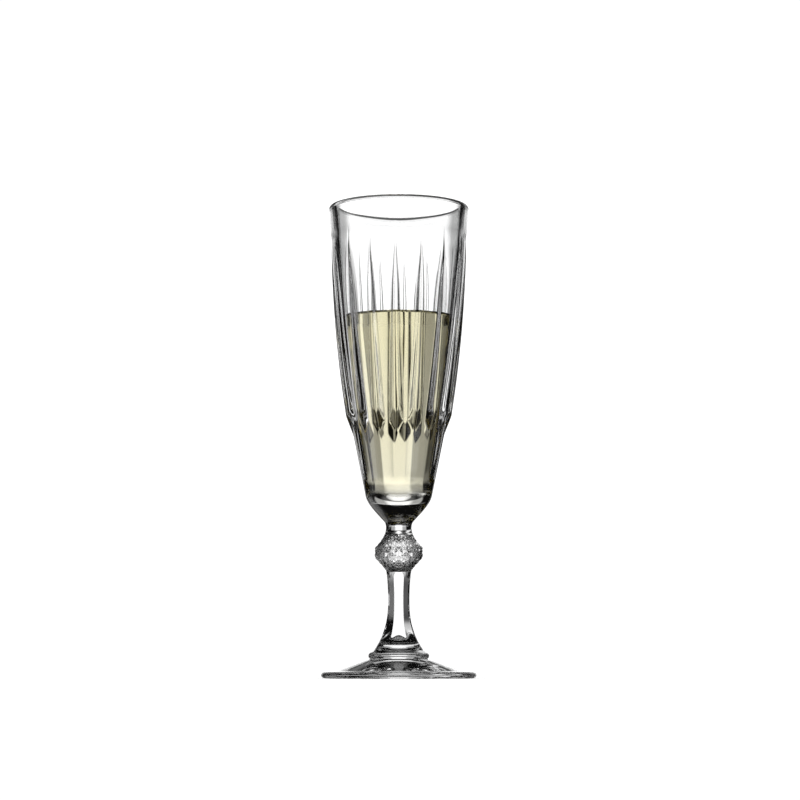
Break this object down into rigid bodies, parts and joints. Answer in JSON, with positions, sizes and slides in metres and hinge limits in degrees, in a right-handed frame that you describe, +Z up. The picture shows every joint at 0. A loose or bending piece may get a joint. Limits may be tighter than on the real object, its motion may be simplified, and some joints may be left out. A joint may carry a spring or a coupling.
{
  "type": "champagne flute",
  "caption": "Tall stemmed flute of pressed clear glass with a ribbed tapering bowl, a diamond-cut knop, a faceted waisted stem and a round spreading foot.",
  "frame": {"origin": "centre of the foot, at the level of the table it stands on", "axes": "+Z up along the flute's axis, from the foot to the rim; one flat of the stem faces -Y"},
  "size_m": [0.0624, 0.0624, 0.192],
  "materials": {
    "clear_glass": "fire-polished clear soda glass",
    "cut_glass": "clear soda glass pressed in small diamonds",
    "wine": "pale straw sparkling wine, still and clear"
  },
  "bodies": {
    "root": {"bowl": "clear_glass", "neck": "clear_glass", "knop": "cut_glass", "stem": "clear_glass", "collar": "clear_glass", "foot": "clear_glass"}
  },
  "joints": []
}
